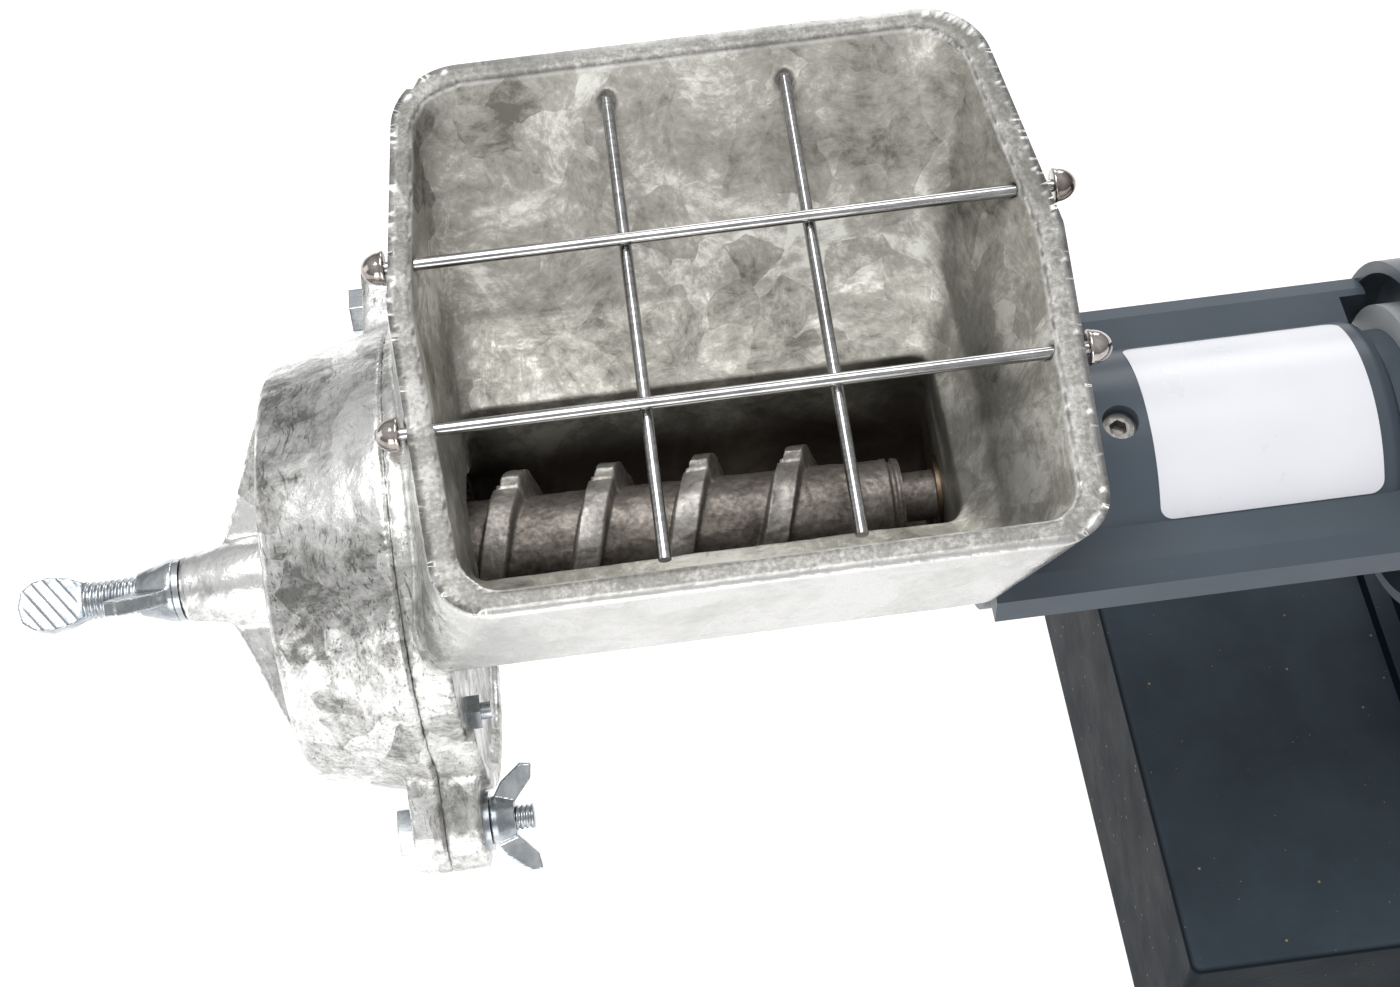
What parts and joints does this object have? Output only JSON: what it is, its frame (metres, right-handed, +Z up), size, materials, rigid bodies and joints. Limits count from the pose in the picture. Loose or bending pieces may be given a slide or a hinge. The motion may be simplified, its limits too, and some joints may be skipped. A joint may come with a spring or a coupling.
{
  "type": "motor-driven grain mill with feed auger",
  "caption": "Bench grinding head with open cast hopper, guard grid, feed auger, round burr cover, wing nuts and thumb screw, driven by an inline gearmotor on a sheet metal base.",
  "frame": {"origin": "on the bench surface, under the middle of the whole machine's box", "axes": "+X along the shaft from the thumb screw to the motor, +Y towards the high back rim of the hopper, +Z up"},
  "size_m": [0.568, 0.176, 0.3157],
  "materials": {
    "tinned_cast": "bright tinned casting, worn",
    "dark_cast": "bare grey-brown casting",
    "rod_steel": "polished drawn rod",
    "zinc_steel": "zinc plated",
    "ground_steel": "machined",
    "drive_paint": "dark blue-grey enamel, satin",
    "base_paint": "dark blue-grey enamel, satin",
    "collar_grey": "matt light grey",
    "label_white": "blank white film",
    "rubber_black": "matt",
    "bronze": "sintered bronze",
    "motor_black": "satin black enamel",
    "switch_plastic": "moulded"
  },
  "bodies": {
    "frame": {"mill_body": "tinned_cast", "plate_cover": "tinned_cast", "stationary_plate": "dark_cast", "guard_long_rods": "rod_steel", "guard_cross_rods": "rod_steel", "guard_push_nuts": "rod_steel", "cover_bolts": "zinc_steel", "plate_screws": "zinc_steel", "plate_nuts": "zinc_steel", "set_screw": "zinc_steel", "pedestal_bolts": "zinc_steel", "pedestal_nuts": "zinc_steel", "housing_screws": "zinc_steel", "gearbox_screws": "zinc_steel", "foot_screws": "zinc_steel", "motor_straps": "zinc_steel", "motor_stator": "ground_steel", "output_bearing": "ground_steel", "motor_bearings": "ground_steel", "neck_bushes": "bronze", "layshaft_bushes": "bronze", "drive_housing": "drive_paint", "gearbox_nose": "drive_paint", "gearbox_case": "drive_paint", "motor_adapter": "drive_paint", "pedestal": "drive_paint", "bearing_collar": "collar_grey", "label": "label_white", "motor_shell": "motor_black", "motor_end_bell": "motor_black", "fan_cover": "motor_black", "terminal_box": "motor_black", "terminal_lid": "motor_black", "toggle_switch": "switch_plastic", "cord_gland": "switch_plastic", "base_pan": "base_paint", "rubber_feet": "rubber_black"},
    "washer_front": {"bolt_washer_front": "zinc_steel"},
    "wing_nut_front": {"wing_nut_front": "zinc_steel"},
    "washer_back": {"bolt_washer_back": "zinc_steel"},
    "wing_nut_back": {"wing_nut_back": "zinc_steel"},
    "thrust_ball": {"thrust_ball": "ground_steel"},
    "thumb_screw": {"thumb_screw": "zinc_steel"},
    "lock_washer": {"lock_washer": "zinc_steel"},
    "lock_wing_nut": {"lock_wing_nut": "tinned_cast"},
    "mill_rotor": {"mill_shaft": "ground_steel", "feed_auger": "dark_cast", "shaft_pins": "ground_steel", "plate_driver": "dark_cast", "rotating_plate": "dark_cast"},
    "drive_output": {"output_shaft": "ground_steel", "drive_coupling": "ground_steel", "coupling_grub": "zinc_steel", "output_gear": "ground_steel"},
    "layshaft": {"layshaft": "ground_steel", "lay_gear": "ground_steel"},
    "motor_rotor": {"motor_shaft": "ground_steel", "motor_rotor": "ground_steel", "motor_fan": "switch_plastic"},
    "toggle_lever": {"toggle_lever": "zinc_steel"}
  },
  "joints": [
    {"name": "washer_front_slide", "type": "slide", "parent": "frame", "child": "washer_front", "axis": [1, 0, 0], "range_m": [0, 0.00381]},
    {"name": "wing_nut_front_turn", "type": "hinge", "parent": "washer_front", "child": "wing_nut_front", "pos_m": [-0.169, -0.0639, 0.20774], "axis": [1, 0, 0], "range_deg": [0, 1081]},
    {"name": "washer_back_slide", "type": "slide", "parent": "frame", "child": "washer_back", "axis": [1, 0, 0], "range_m": [0, 0.00381]},
    {"name": "wing_nut_back_turn", "type": "hinge", "parent": "washer_back", "child": "wing_nut_back", "pos_m": [-0.169, 0.0639, 0.25426], "axis": [1, 0, 0], "range_deg": [0, 1081]},
    {"name": "thrust_slide", "type": "slide", "parent": "frame", "child": "thrust_ball", "axis": [1, 0, 0], "range_m": [-0.00238, 0]},
    {"name": "thumb_screw_turn", "type": "hinge", "parent": "thrust_ball", "child": "thumb_screw", "pos_m": [-0.241, 0, 0.231], "axis": [1, 0, 0], "range_deg": [-541, 0]},
    {"name": "lock_washer_slide", "type": "slide", "parent": "frame", "child": "lock_washer", "axis": [1, 0, 0], "range_m": [-0.00158, 0]},
    {"name": "lock_nut_turn", "type": "hinge", "parent": "lock_washer", "child": "lock_wing_nut", "pos_m": [-0.247, 0, 0.231], "axis": [1, 0, 0], "range_deg": [-361, 0]},
    {"name": "mill_spin", "type": "hinge", "parent": "thrust_ball", "child": "mill_rotor", "pos_m": [-0.101, 0, 0.231], "axis": [1, 0, 0], "continuous": true},
    {"name": "output_spin", "type": "hinge", "parent": "frame", "child": "drive_output", "pos_m": [0.059, 0, 0.231], "axis": [1, 0, 0], "continuous": true},
    {"name": "layshaft_spin", "type": "hinge", "parent": "frame", "child": "layshaft", "pos_m": [0.119, 0, 0.201], "axis": [1, 0, 0], "continuous": true},
    {"name": "motor_spin", "type": "hinge", "parent": "frame", "child": "motor_rotor", "pos_m": [0.199, 0, 0.231], "axis": [1, 0, 0], "continuous": true},
    {"name": "switch_toggle", "type": "hinge", "parent": "frame", "child": "toggle_lever", "pos_m": [0.191, -0.0302, 0.297], "axis": [1, 0, 0], "range_deg": [-28, 0]}
  ],
  "couplings": [
    {"joint": "wing_nut_front_turn", "follows": "washer_front_slide", "rad_per_m": 4947.4},
    {"joint": "wing_nut_back_turn", "follows": "washer_back_slide", "rad_per_m": 4947.4},
    {"joint": "thumb_screw_turn", "follows": "thrust_slide", "rad_per_m": 3957.9},
    {"joint": "lock_nut_turn", "follows": "lock_washer_slide", "rad_per_m": 3957.9},
    {"joint": "mill_spin", "follows": "motor_spin", "ratio": 0.0625},
    {"joint": "output_spin", "follows": "motor_spin", "ratio": 0.0625},
    {"joint": "layshaft_spin", "follows": "motor_spin", "ratio": -0.25}
  ]
}
